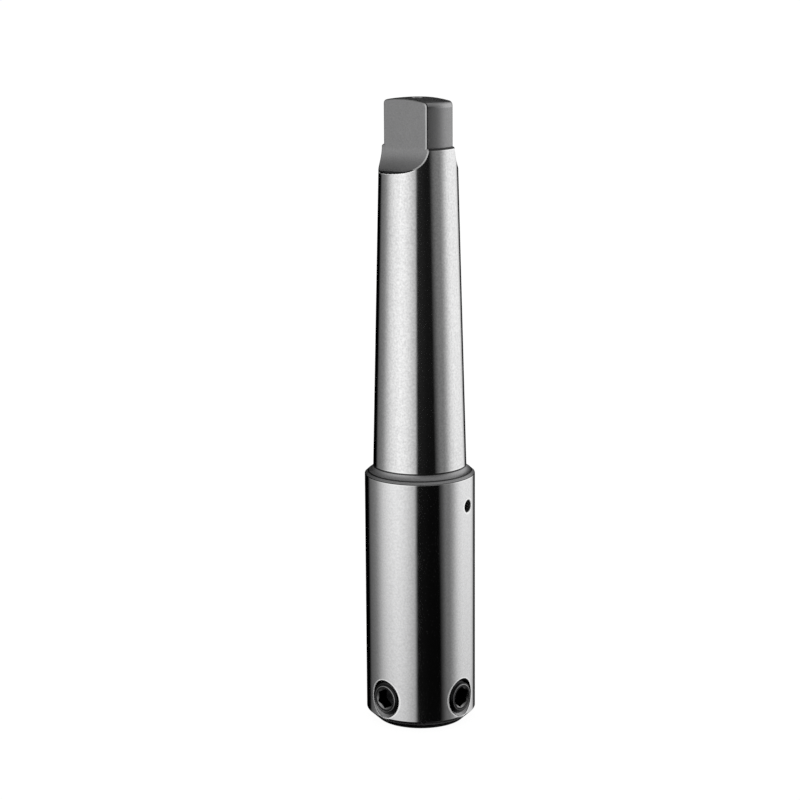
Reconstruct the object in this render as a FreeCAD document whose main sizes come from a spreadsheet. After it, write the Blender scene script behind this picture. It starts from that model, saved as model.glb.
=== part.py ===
import FreeCAD, Part
import math
import os

import Sketcher

# Annular cutter arbor with a Morse No. 4 tanged taper shank. All lengths in mm, angles in degrees.
# The origin is the centre of the nose face. +Z runs along the axis towards the tang.
# Set screw A faces -Y and set screw B faces +X.

SIZES = [
    # turned body
    ("body_diameter", 37.4, "parallel body below the shoulder"),
    ("shoulder_height", 87.6, "nose face to shoulder face"),
    ("nose_face_diameter", 29.7, "flat ring that the cutter's head seats on"),
    ("nose_chamfer_height", 3.55, "axial height of the nose chamfer"),
    ("shoulder_chamfer_height", 1.15, "axial height of the shoulder's edge chamfer"),
    ("shoulder_flat_width", 0.1, "flat ring left between the shoulder's chamfer and the neck's fillet"),
    ("neck_fillet_radius", 1.6, "fillet between shoulder and taper"),
    # Morse taper
    ("gauge_diameter", 31.267, "taper diameter at the gauge plane"),
    ("gauge_offset", 8.4, "shoulder face to gauge plane"),
    ("taper_ratio", 19.254, "length over which the diameter changes by 1"),
    ("taper_edge_chamfer", 0.5, "edge break at the taper's small end"),
    # tang
    ("tang_end_offset", 117.5, "gauge plane to the end of the tang"),
    ("tang_length", 16.0, "turned length of the tang"),
    ("tang_diameter", 24.0, "turned diameter of the tang"),
    ("tang_thickness", 11.9, "across the flats"),
    ("flat_length", 24.0, "tang end to the end of the milled flats"),
    ("flat_runout_radius", 8.0, "radius that the milling cutter leaves at the flats' end"),
    ("tang_turn", 4.5, "turn of the flats' normal from set screw A's axis, away from screw B"),
    ("tang_dome_rise", 1.0, "height of the domed end"),
    ("tang_corner_radius", 1.5, "rounding between dome and tang diameter"),
    ("tang_centre_diameter", 4.0, "mouth of the 60 degree turning centre"),
    ("tang_centre_pilot_diameter", 1.6, "pilot hole of the turning centre"),
    ("tang_centre_pilot_depth", 3.6, "depth of the pilot hole"),
    # bore and spring chamber
    ("bore_diameter", 19.05, "bore for a 3/4 inch side-lock cutter shank"),
    ("bore_depth", 33.0, "nose face to the bore's floor"),
    ("bore_entry_chamfer", 1.0, "chamfer at the bore's mouth"),
    ("chamber_diameter", 13.0, "spring chamber above the bore"),
    ("chamber_end_height", 82.0, "nose face to the chamber's floor"),
    # coolant cross hole
    ("cross_hole_diameter", 4.2, "radial coolant hole into the spring chamber"),
    ("cross_hole_height", 76.9, "nose face to the hole's axis"),
    ("cross_hole_turn", 11.5, "turn of the hole from set screw B's axis"),
    ("cross_hole_chamfer", 0.5, "edge break at the hole's mouth"),
    # set screws
    ("screw_diameter", 12.0, "major diameter of the M12 thread"),
    ("screw_clearance", 0.05, "radial clearance of the plain screw in its plain hole"),
    ("screw_height", 10.3, "nose face to the screws' axes"),
    ("screw_mouth_chamfer", 0.5, "edge break at each screw hole's mouth"),
    ("screw_length", 8.0, "overall length of a set screw"),
    ("screw_setback", 0.1, "crest of the body to the screw's socket face"),
    ("screw_face_diameter", 8.8, "flat ring round the hexagon socket"),
    ("screw_face_chamfer_height", 1.2, "axial height of the socket end's chamfer"),
    ("screw_point_diameter", 8.5, "flat point that bears on the cutter's flat"),
    ("screw_point_chamfer_height", 1.4, "axial height of the point's chamfer"),
    ("socket_width", 6.1, "hexagon socket across flats"),
    ("socket_depth", 4.4, "depth of the hexagon socket"),
    ("socket_turn_a", 26.0, "turn of screw A's hexagon"),
    ("socket_turn_b", 20.0, "turn of screw B's hexagon"),
    # ejector: plunger, spring and retaining ring
    ("ring_thickness", 1.2, "axial thickness of the retaining ring"),
    ("ring_width", 1.5, "radial width of the retaining ring"),
    ("ring_groove_depth", 0.5, "depth of the ring's groove in the chamber wall"),
    ("ring_groove_clearance", 0.05, "gap between the ring and each wall of its groove"),
    ("ring_offset", 1.8, "bore's floor to the middle of the ring"),
    ("ring_gap_angle", 30.0, "opening of the split ring"),
    ("seat_clearance", 0.05, "gap left where the ejector's pieces seat on each other"),
    ("plunger_clearance", 0.06, "radial clearance of the plunger's flange in the chamber"),
    ("plunger_flange_thickness", 4.0, "thickness of the guided flange"),
    ("plunger_nose_diameter", 9.5, "button that the pilot pin pushes"),
    ("plunger_nose_setback", 0.5, "bore's floor to the button's end"),
    ("plunger_spigot_diameter", 8.4, "spigot that centres the spring"),
    ("plunger_spigot_length", 5.0, "length of the spigot"),
    ("plunger_hole_diameter", 3.0, "coolant passage through the plunger"),
    ("plunger_edge_break", 0.4, "chamfer on the plunger's ends"),
    ("spring_wire_diameter", 1.1, "wire of the compression spring"),
    ("spring_diameter", 11.0, "outside diameter of the spring"),
    ("spring_turns", 12.0, "turns between the ground ends"),
]

SHEET = "Sizes"
MARGIN = 5.0
SAME = 1e-3


class Size:
    """A value together with the spreadsheet expression that gives it."""

    def __init__(self, value, text):
        self.value = value
        self.text = text

    def __add__(self, other):
        other = as_size(other)
        return Size(self.value + other.value, f"({self.text} + {other.text})")

    def __sub__(self, other):
        other = as_size(other)
        return Size(self.value - other.value, f"({self.text} - {other.text})")

    def __mul__(self, other):
        other = as_size(other)
        return Size(self.value * other.value, f"({self.text} * {other.text})")

    def __truediv__(self, other):
        other = as_size(other)
        return Size(self.value / other.value, f"({self.text} / {other.text})")

    def __neg__(self):
        return Size(-self.value, f"(-{self.text})")


def as_size(number):
    return number if isinstance(number, Size) else Size(float(number), str(float(number)))


def make_sheet(doc):
    sheet = doc.addObject("Spreadsheet::Sheet", SHEET)
    for row, (name, value, note) in enumerate(SIZES, start=1):
        sheet.set(f"A{row}", name)
        sheet.set(f"B{row}", str(value))
        sheet.set(f"C{row}", note)
        sheet.setAlias(f"B{row}", name)
    doc.recompute()
    return sheet


class Sizes:
    """Every size of the sheet as an attribute, such as sizes.body_diameter."""

    def __init__(self, sheet):
        for name, _, _ in SIZES:
            setattr(self, name, Size(float(sheet.get(name)), f"{SHEET}.{name}"))


# Sketches

def new_body(doc, label):
    body = doc.addObject("PartDesign::Body", label)
    body.Label = label
    return body


def sketch_on(body, name, role):
    plane = next(f for f in body.Origin.OriginFeatures if f.Role == role)
    sketch = body.newObject("Sketcher::SketchObject", name)
    sketch.AttachmentSupport = [(plane, "")]
    sketch.MapMode = "FlatFace"
    return sketch


def turn_sketch(sketch, angle):
    """Turn a sketch that stands upright about its own vertical axis, which is the part's Z axis."""
    upright = FreeCAD.Vector(0, 1, 0)
    sketch.AttachmentOffset = FreeCAD.Placement(FreeCAD.Vector(), FreeCAD.Rotation(upright, angle.value))
    sketch.setExpression("AttachmentOffset.Rotation.Angle", angle.text)


def pin_down(sketch, curve, end, x, y):
    """Hold a point of a sketch at x, y from the sketch's origin."""
    for kind, axis, size in (("DistanceX", -2, x), ("DistanceY", -1, y)):
        if abs(size.value) < 1e-9:
            sketch.addConstraint(Sketcher.Constraint("PointOnObject", curve, end, axis))
        elif size.value > 0:
            index = sketch.addConstraint(Sketcher.Constraint(kind, -1, 1, curve, end, size.value))
            sketch.setExpression(f"Constraints[{index}]", size.text)
        else:
            index = sketch.addConstraint(Sketcher.Constraint(kind, curve, end, -1, 1, -size.value))
            sketch.setExpression(f"Constraints[{index}]", (-size).text)


def arc_between(start, end, radius, turns_left):
    """The short arc from start to end, drawn counter-clockwise, and whether it runs from end to start."""
    chord = end.sub(start)
    half = chord.Length / 2
    side = FreeCAD.Vector(-chord.y, chord.x, 0).normalize()
    rise = math.sqrt(max(radius * radius - half * half, 0.0))
    centre = start.add(chord * 0.5).add(side * (rise if turns_left else -rise))
    first, last = (start, end) if turns_left else (end, start)
    angle_1 = math.atan2(first.y - centre.y, first.x - centre.x)
    angle_2 = math.atan2(last.y - centre.y, last.x - centre.x)
    if angle_2 < angle_1:
        angle_2 += 2 * math.pi
    circle = Part.Circle(centre, FreeCAD.Vector(0, 0, 1), radius)
    return Part.ArcOfCircle(circle, angle_1, angle_2), not turns_left


def outline(sketch, corners):
    """Draw a closed outline. A corner is (x, y), or (x, y, radius, turns_left) where an arc leaves it."""
    corners = [tuple(as_size(v) if not isinstance(v, bool) else v for v in corner) for corner in corners]
    points = [FreeCAD.Vector(corner[0].value, corner[1].value, 0) for corner in corners]
    ends = []
    for i, corner in enumerate(corners):
        start, end = points[i], points[(i + 1) % len(points)]
        if len(corner) == 2:
            curve = sketch.addGeometry(Part.LineSegment(start, end), False)
            ends.append((curve, 1, 2))
            continue
        arc, backwards = arc_between(start, end, corner[2].value, corner[3])
        curve = sketch.addGeometry(arc, False)
        ends.append((curve, 2, 1) if backwards else (curve, 1, 2))
    for i, corner in enumerate(corners):
        curve, first, last = ends[i]
        following, following_first, _ = ends[(i + 1) % len(ends)]
        sketch.addConstraint(Sketcher.Constraint("Coincident", curve, last, following, following_first))
        pin_down(sketch, curve, first, corner[0], corner[1])
        if len(corner) == 4:
            index = sketch.addConstraint(Sketcher.Constraint("Radius", curve, corner[2].value))
            sketch.setExpression(f"Constraints[{index}]", corner[2].text)


def circle(sketch, x, y, diameter):
    x, y = as_size(x), as_size(y)
    centre = FreeCAD.Vector(x.value, y.value, 0)
    shape = Part.Circle(centre, FreeCAD.Vector(0, 0, 1), diameter.value / 2)
    curve = sketch.addGeometry(shape, False)
    pin_down(sketch, curve, 3, x, y)
    index = sketch.addConstraint(Sketcher.Constraint("Diameter", curve, diameter.value))
    sketch.setExpression(f"Constraints[{index}]", diameter.text)


def polygon(sketch, sides, corner_radius, x, y):
    """A regular polygon about x, y, with its first corner straight to the right."""
    corners = []
    for i in range(sides):
        angle = 2 * math.pi * i / sides
        across, up = round(math.cos(angle), 9), round(math.sin(angle), 9)
        corners.append((corner_radius * across + x, corner_radius * up + y))
    outline(sketch, corners)


# Features

def revolve(body, name, corners, kind="PartDesign::Revolution"):
    """Turn an outline of (radius, height) corners about the body's Z axis, to add or to cut."""
    sketch = sketch_on(body, name + "_outline", "XZ_Plane")
    outline(sketch, corners)
    feature = body.newObject(kind, name)
    feature.Profile = sketch
    feature.ReferenceAxis = (sketch, ["V_Axis"])
    feature.Angle = 360.0
    return feature


def groove(doc, body, name, corners):
    """A turned cut. It fails unless it takes material away."""
    doc.recompute()
    before = body.Shape.Volume
    feature = revolve(body, name, corners, "PartDesign::Groove")
    doc.recompute()
    must_cut(name, before, body.Shape.Volume)
    return feature


def pocket(doc, body, sketch, name, length, both_ways=False):
    """A straight cut along the sketch's normal, or both ways from it. It fails unless it takes material away."""
    doc.recompute()
    before = body.Shape.Volume
    feature = body.newObject("PartDesign::Pocket", name)
    feature.Profile = sketch
    feature.Midplane = both_ways
    feature.Reversed = not both_ways
    feature.Length = length.value
    feature.setExpression("Length", length.text)
    doc.recompute()
    must_cut(name, before, body.Shape.Volume)
    return feature


def must_cut(name, before, after):
    if after > before - SAME:
        raise RuntimeError(f"{name} cuts nothing")


def edge_names(shape, belongs):
    """The names of the edges whose points all belong, each edge being tried at several points."""
    names = []
    for number, edge in enumerate(shape.Edges, start=1):
        if edge.Degenerated:
            continue
        if all(belongs(point) for point in edge.discretize(Number=9)):
            names.append(f"Edge{number}")
    return names


def round_or_bevel(doc, body, kind, name, size, belongs):
    """A Fillet or Chamfer on the edges of the body's tip that belong."""
    doc.recompute()
    base = body.Tip
    names = edge_names(base.Shape, belongs)
    if not names:
        raise RuntimeError(f"{name} finds no edge")
    feature = body.newObject(kind, name)
    feature.Base = (base, names)
    key = "Radius" if kind.endswith("Fillet") else "Size"
    setattr(feature, key, size.value)
    feature.setExpression(key, size.text)
    doc.recompute()
    return feature


def radius_at(point):
    return math.hypot(point.x, point.y)


def off_axis(point, direction, height):
    """Distance of a point from a radial axis that leaves the part's axis at a height."""
    away = FreeCAD.Vector(point.x, point.y, point.z - height)
    return away.sub(direction * away.dot(direction)).Length


# The arbor's one-piece steel body

def body_outline(s):
    """The turned outside: nose, parallel body, shoulder, neck fillet, taper, tang and domed end."""
    body_radius = s.body_diameter / 2
    gauge_height = s.shoulder_height + s.gauge_offset
    end_height = gauge_height + s.tang_end_offset
    step_height = end_height - s.tang_length
    neck_height = s.shoulder_height + s.neck_fillet_radius

    def taper_radius(height):
        return s.gauge_diameter / 2 - (height - gauge_height) / s.taper_ratio / 2

    fillet_foot = taper_radius(neck_height) + s.neck_fillet_radius
    tang_radius = s.tang_diameter / 2
    dome_radius = (tang_radius * tang_radius + s.tang_dome_rise * s.tang_dome_rise) / s.tang_dome_rise / 2
    return [
        (0, 0),
        (s.nose_face_diameter / 2, 0),
        (body_radius, s.nose_chamfer_height),
        (body_radius, s.shoulder_height - s.shoulder_chamfer_height),
        (fillet_foot + s.shoulder_flat_width, s.shoulder_height),
        (fillet_foot, s.shoulder_height, s.neck_fillet_radius, False),
        (taper_radius(neck_height), neck_height),
        (taper_radius(step_height - s.taper_edge_chamfer), step_height - s.taper_edge_chamfer),
        (taper_radius(step_height) - s.taper_edge_chamfer, step_height),
        (tang_radius, step_height),
        (tang_radius, end_height - s.tang_dome_rise, dome_radius, True),
        (0, end_height),
    ]


def bore_outline(s):
    """The bore, the spring chamber and the retaining ring's groove, from the nose inwards."""
    bore_radius = s.bore_diameter / 2
    chamber_radius = s.chamber_diameter / 2
    ring_height = s.bore_depth + s.ring_offset
    half_groove = s.ring_thickness / 2 + s.ring_groove_clearance
    return [
        (0, 0),
        (bore_radius + s.bore_entry_chamfer, 0),
        (bore_radius, s.bore_entry_chamfer),
        (bore_radius, s.bore_depth),
        (chamber_radius, s.bore_depth),
        (chamber_radius, ring_height - half_groove),
        (chamber_radius + s.ring_groove_depth, ring_height - half_groove),
        (chamber_radius + s.ring_groove_depth, ring_height + half_groove),
        (chamber_radius, ring_height + half_groove),
        (chamber_radius, s.chamber_end_height),
        (0, s.chamber_end_height),
    ]


def turning_centre_outline(s):
    """The 60 degree centre hole in the tang's end."""
    end_height = s.shoulder_height + s.gauge_offset + s.tang_end_offset
    mouth = s.tang_centre_diameter / 2
    pilot = s.tang_centre_pilot_diameter / 2
    cone_depth = (mouth - pilot) * math.sqrt(3)
    return [
        (0, end_height + 1),
        (mouth + 1 / math.sqrt(3), end_height + 1),
        (pilot, end_height - cone_depth),
        (pilot, end_height - s.tang_centre_pilot_depth),
        (0, end_height - s.tang_centre_pilot_depth),
    ]


def flat_outline(s, side):
    """What the milling cutter takes off one side of the tang, seen along the flat. side is 1 or -1."""
    end_height = s.shoulder_height + s.gauge_offset + s.tang_end_offset
    face = s.tang_thickness / 2 * side
    foot = end_height - s.flat_length
    outside = (s.gauge_diameter / 2 + MARGIN) * side
    return [
        (outside, end_height + MARGIN),
        (face, end_height + MARGIN),
        (face, foot + s.flat_runout_radius, s.flat_runout_radius, side > 0),
        (face + s.flat_runout_radius * side, foot),
        (outside, foot),
    ]


def make_flats(doc, body, s):
    for side, name in ((1, "back_flat"), (-1, "front_flat")):
        sketch = sketch_on(body, name + "_outline", "YZ_Plane")
        turn_sketch(sketch, -s.tang_turn)
        outline(sketch, flat_outline(s, side))
        pocket(doc, body, sketch, name, s.gauge_diameter + MARGIN, both_ways=True)


def make_radial_hole(doc, body, s, name, role, turn, height, diameter, chamfer):
    """A hole from the part's axis out through one side of the body, with its mouth's edge broken."""
    sketch = sketch_on(body, name + "_outline", role)
    if turn is not None:
        turn_sketch(sketch, turn)
    circle(sketch, 0, height, diameter)
    doc.recompute()
    direction = sketch.Placement.Rotation.multVec(FreeCAD.Vector(0, 0, 1))
    pocket(doc, body, sketch, name, s.body_diameter / 2 + MARGIN)

    def at_mouth(point):
        on_hole = abs(off_axis(point, direction, height.value) - diameter.value / 2) < SAME
        outside = radius_at(point) > s.body_diameter.value / 2 - SAME
        return on_hole and outside and point.dot(direction) > 0

    round_or_bevel(doc, body, "PartDesign::Chamfer", name + "_edge", chamfer, at_mouth)


def make_arbor_body(doc, s):
    body = new_body(doc, "arbor_body")
    revolve(body, "turning", body_outline(s))
    crown = s.shoulder_height + s.gauge_offset + s.tang_end_offset - s.tang_dome_rise

    def at_crown(point):
        return abs(point.z - crown.value) < SAME and abs(radius_at(point) - s.tang_diameter.value / 2) < SAME

    round_or_bevel(doc, body, "PartDesign::Fillet", "tang_corner", s.tang_corner_radius, at_crown)
    make_flats(doc, body, s)
    groove(doc, body, "turning_centre", turning_centre_outline(s))
    groove(doc, body, "bore", bore_outline(s))
    hole = s.screw_diameter + s.screw_clearance * 2
    make_radial_hole(doc, body, s, "screw_hole_a", "XZ_Plane", None, s.screw_height, hole, s.screw_mouth_chamfer)
    make_radial_hole(doc, body, s, "screw_hole_b", "YZ_Plane", None, s.screw_height, hole, s.screw_mouth_chamfer)
    make_radial_hole(doc, body, s, "cross_hole", "YZ_Plane", s.cross_hole_turn, s.cross_hole_height,
                     s.cross_hole_diameter, s.cross_hole_chamfer)
    return body


# The hexagon socket set screws

def screw_outline(s):
    """Half of the screw's section. Its socket face is at height 0 and its point below."""
    radius = s.screw_diameter / 2
    return [
        (0, -s.screw_length),
        (s.screw_point_diameter / 2, -s.screw_length),
        (radius, s.screw_point_chamfer_height - s.screw_length),
        (radius, -s.screw_face_chamfer_height),
        (s.screw_face_diameter / 2, 0),
        (0, 0),
    ]


def make_set_screw(doc, s, label, outward, turn):
    """A set screw whose socket faces outward, a unit vector, at its place in the arbor."""
    body = new_body(doc, label)
    revolve(body, label + "_turning", screw_outline(s))
    sketch = sketch_on(body, label + "_socket_outline", "XY_Plane")
    sketch.AttachmentOffset = FreeCAD.Placement(
        FreeCAD.Vector(), FreeCAD.Rotation(FreeCAD.Vector(0, 0, 1), turn.value))
    sketch.setExpression("AttachmentOffset.Rotation.Angle", turn.text)
    polygon(sketch, 6, s.socket_width / math.sqrt(3), 0, 0)
    doc.recompute()
    before = body.Shape.Volume
    socket = body.newObject("PartDesign::Pocket", label + "_socket")
    socket.Profile = sketch
    socket.Length = s.socket_depth.value
    socket.setExpression("Length", s.socket_depth.text)
    doc.recompute()
    must_cut(socket.Name, before, body.Shape.Volume)
    drill = s.socket_width / 2
    groove(doc, body, label + "_socket_floor", [
        (0, -s.socket_depth),
        (drill, -s.socket_depth),
        (0, -s.socket_depth - drill / math.sqrt(3)),
    ])
    face = s.body_diameter / 2 - s.screw_setback
    body.Placement.Rotation = FreeCAD.Rotation(FreeCAD.Vector(0, 0, 1), outward)
    for axis, part in (("x", outward.x), ("y", outward.y)):
        body.setExpression(f"Placement.Base.{axis}", (face * part).text)
    body.setExpression("Placement.Base.z", s.screw_height.text)
    return body


# The spring-loaded ejector inside the chamber

def make_retaining_ring(doc, s):
    """A split ring that traps the plunger in the chamber."""
    body = new_body(doc, "retaining_ring")
    sketch = sketch_on(body, "ring_section", "XZ_Plane")
    outside = s.chamber_diameter / 2 + s.ring_groove_depth - s.ring_groove_clearance
    height = s.bore_depth + s.ring_offset
    half = s.ring_thickness / 2
    outline(sketch, [
        (outside - s.ring_width, height - half),
        (outside, height - half),
        (outside, height + half),
        (outside - s.ring_width, height + half),
    ])
    ring = body.newObject("PartDesign::Revolution", "ring")
    ring.Profile = sketch
    ring.ReferenceAxis = (sketch, ["V_Axis"])
    angle = as_size(360) - s.ring_gap_angle
    ring.Angle = angle.value
    ring.setExpression("Angle", angle.text)
    return body


def flange_height(s):
    """Height of the plunger's flange, which rests on the retaining ring."""
    return s.bore_depth + s.ring_offset + s.ring_thickness / 2 + s.seat_clearance


def make_plunger(doc, s):
    """The stepped button that the cutter's pilot pin pushes up and that pushes the slug out."""
    body = new_body(doc, "ejector_plunger")
    hole = s.plunger_hole_diameter / 2
    nose = s.plunger_nose_diameter / 2
    flange = s.chamber_diameter / 2 - s.plunger_clearance
    spigot = s.plunger_spigot_diameter / 2
    bottom = s.bore_depth + s.plunger_nose_setback
    seat = flange_height(s)
    top = seat + s.plunger_flange_thickness
    revolve(body, "plunger_turning", [
        (hole, bottom),
        (nose - s.plunger_edge_break, bottom),
        (nose, bottom + s.plunger_edge_break),
        (nose, seat),
        (flange, seat),
        (flange, top),
        (spigot, top),
        (spigot, top + s.plunger_spigot_length - s.plunger_edge_break),
        (spigot - s.plunger_edge_break, top + s.plunger_spigot_length),
        (hole, top + s.plunger_spigot_length),
    ])
    return body


def make_spring(doc, s):
    """A compression spring with ground ends. Eight sides stand for its round wire."""
    body = new_body(doc, "ejector_spring")
    low = flange_height(s) + s.plunger_flange_thickness + s.seat_clearance
    high = s.chamber_end_height - s.seat_clearance
    pitch = (high - low) / s.spring_turns
    wire = s.spring_wire_diameter
    sketch = sketch_on(body, "spring_wire", "XZ_Plane")
    polygon(sketch, 8, wire / 2, (s.spring_diameter - wire) / 2, low)
    coil = body.newObject("PartDesign::AdditiveHelix", "coil")
    coil.Profile = sketch
    coil.ReferenceAxis = (sketch, ["V_Axis"])
    coil.Mode = "pitch-height-angle"
    for key, size in (("Pitch", pitch), ("Height", high - low)):
        setattr(coil, key, size.value)
        coil.setExpression(key, size.text)
    outside = s.spring_diameter / 2 + MARGIN
    groove(doc, body, "lower_grinding", [
        (0, low - wire), (outside, low - wire), (outside, low), (0, low),
    ])
    groove(doc, body, "upper_grinding", [
        (0, high), (outside, high), (outside, high + wire), (0, high + wire),
    ])
    return body


def check_and_export(doc, bodies):
    """Stop on any failed feature or bad shape, and only then write the files."""
    doc.recompute()
    failed = [o.Name for o in doc.Objects if {"Invalid", "Error"} & set(o.State)]
    if failed:
        raise RuntimeError(f"failed features: {failed}")
    for body in bodies:
        shape = body.Shape
        if shape.isNull() or not shape.isValid() or len(shape.Solids) != 1:
            raise RuntimeError(f"{body.Label} is not one valid solid")
    os.makedirs("parts", exist_ok=True)
    for body in bodies:
        body.Shape.exportStep(f"parts/{body.Label}.step")
        print(f"{body.Label}: {body.Shape.Volume:.1f} mm3, {len(body.Shape.Faces)} faces")


def main():
    doc = FreeCAD.newDocument("annular_cutter_arbor")
    s = Sizes(make_sheet(doc))
    bodies = [
        make_arbor_body(doc, s),
        make_set_screw(doc, s, "set_screw_a", FreeCAD.Vector(0, -1, 0), s.socket_turn_a),
        make_set_screw(doc, s, "set_screw_b", FreeCAD.Vector(1, 0, 0), s.socket_turn_b),
        make_retaining_ring(doc, s),
        make_plunger(doc, s),
        make_spring(doc, s),
    ]
    check_and_export(doc, bodies)


main()
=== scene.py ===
import math

import bpy
import numpy as np
from mathutils import Matrix, Vector


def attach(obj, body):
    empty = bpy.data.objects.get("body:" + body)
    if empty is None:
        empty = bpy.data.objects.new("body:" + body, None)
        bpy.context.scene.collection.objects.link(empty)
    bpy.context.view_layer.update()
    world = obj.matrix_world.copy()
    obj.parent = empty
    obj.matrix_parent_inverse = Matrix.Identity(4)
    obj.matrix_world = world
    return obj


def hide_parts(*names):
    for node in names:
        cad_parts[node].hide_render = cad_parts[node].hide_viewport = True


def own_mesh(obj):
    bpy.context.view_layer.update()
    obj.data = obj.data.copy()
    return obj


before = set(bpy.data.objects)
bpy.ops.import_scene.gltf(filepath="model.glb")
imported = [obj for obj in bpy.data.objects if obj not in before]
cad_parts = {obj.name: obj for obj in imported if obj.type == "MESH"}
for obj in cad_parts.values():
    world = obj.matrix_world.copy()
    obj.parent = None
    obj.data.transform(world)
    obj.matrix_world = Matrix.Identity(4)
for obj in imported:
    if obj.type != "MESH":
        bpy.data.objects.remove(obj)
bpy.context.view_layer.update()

# Looks of an annular cutter arbor with a tanged taper shank. Shapes are worked out in millimetres
# in the part's own frame and scaled to metres when a mesh is made.

MM = 0.001

# Sizes of the arbor. The shoulder's hollow, the flats' turn and slant, the tang's end and the screws'
# threads and sockets differ from the solids by a fraction of a millimetre or a few degrees.
BODY_RADIUS = 18.7
NOSE_FACE_RADIUS = 14.85
NOSE_CHAMFER_TOP = 3.55
SHOULDER_EDGE = 86.45
SHOULDER_TOP = (17.45, 87.57)
NECK_END = 89.7
GAUGE_HEIGHT = 96.0
GAUGE_RADIUS = 15.6335
TAPER_SLOPE = 1 / 19.254 / 2
STEP = 197.5
TAPER_EDGE_BREAK = 0.5
TANG_RADIUS = 12.0
TANG_CORNER = 1.5
END = 213.25
DOME_RISE = 1.05
DOME_RADIUS = (TANG_RADIUS ** 2 + DOME_RISE ** 2) / DOME_RISE / 2
FLAT_HALF = 5.95
FLAT_FOOT = 189.4
RUNOUT_SLANT = 0.06
RUNOUT_RADIUS = 8.0
FLAT_TURN = math.radians(6.6)
FLAT_BEVEL = 0.26
CENTRE_MOUTH = 2.0
CENTRE_PILOT = 0.8
CENTRE_DEPTH = 3.6
BORE_RADIUS = 9.525
BORE_DEPTH = 33.0
BORE_CHAMFER = 1.0
CHAMBER_RADIUS = 6.5
CHAMBER_END = 82.0
RING_HEIGHT = 34.8
RING_GROOVE = (0.5, 0.65)
SCREW_HOLE_RADIUS = 5.65
SCREW_HOLE_CONE = 6.58
SCREW_HEIGHT = 10.3
SCREW_OUT = 18.6
SCREW_LENGTH = 8.0
SCREW_FACE = 4.4
SCREW_POINT = 4.25
SCREW_CREST = 5.6
SCREW_ROOT = 4.8
HEX_WIDTH = 6.1
SOCKET_DEPTH = 4.4
SOCKET_LIP = 0.16
SOCKET_SLOPE = 0.7
SOCKET_DRILL = 1.5
SCREW_EDGE = 0.12
POINT_SLOPE = 1.25
CROSS_HOLE_RADIUS = 2.1
CROSS_HOLE_CONE = 2.35
MOUTH_BAND = 0.4
MOUTH_LIP = 0.08
CROSS_HOLE_HEIGHT = 76.9
CROSS_HOLE_TURN = 11.5
PITCH = 1.75
SPRING_LOW = 39.5
SPRING_HIGH = 81.95
SPRING_RADIUS = 4.95
SPRING_TURNS = 12
WIRE_RADIUS = 0.55
# Widths of the bands painted as highlights along edges and as lines of painted shade in corners
HIGHLIGHT_BAND = 0.35
SHADE_LINE_BAND = 0.35
# How far above the flats' foot each painted band goes: painted shade, dark on the cut and on its bevel
# and dimmer on the cut, and a painted highlight beside it
FOOT_DARK = 0.4
BEVEL_DARK = 0.9
FOOT_DIM_SHADE = 1.0
FOOT_BRIGHT = 0.8
# Where the tang's mesh starts, where its rows get dense, and the radius at which its dome's middle starts.
# The rays through the dome leave the axis at RAY_TOP.
TAPER_JOINT = 160.0
TAPER_DENSE = 187.5
DOME_JOINT = 4.6
RAY_TOP = 205.0
# Heights of the walls that have holes in them
SCREW_ZONE_TOP = 18.3
CROSS_ZONE = (73.3, 80.5)
CROSS_CHAMBER_ZONE = (73.7, 80.1)
# Distances from the cut's surface: well below the flats' foot, and near enough to lie on it
NOT_CUT = -5.0
ON_SURFACE = 1e-5


# Meshes

def unit(v):
    return v / np.maximum(np.linalg.norm(v, axis=-1, keepdims=True), 1e-12)


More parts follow.
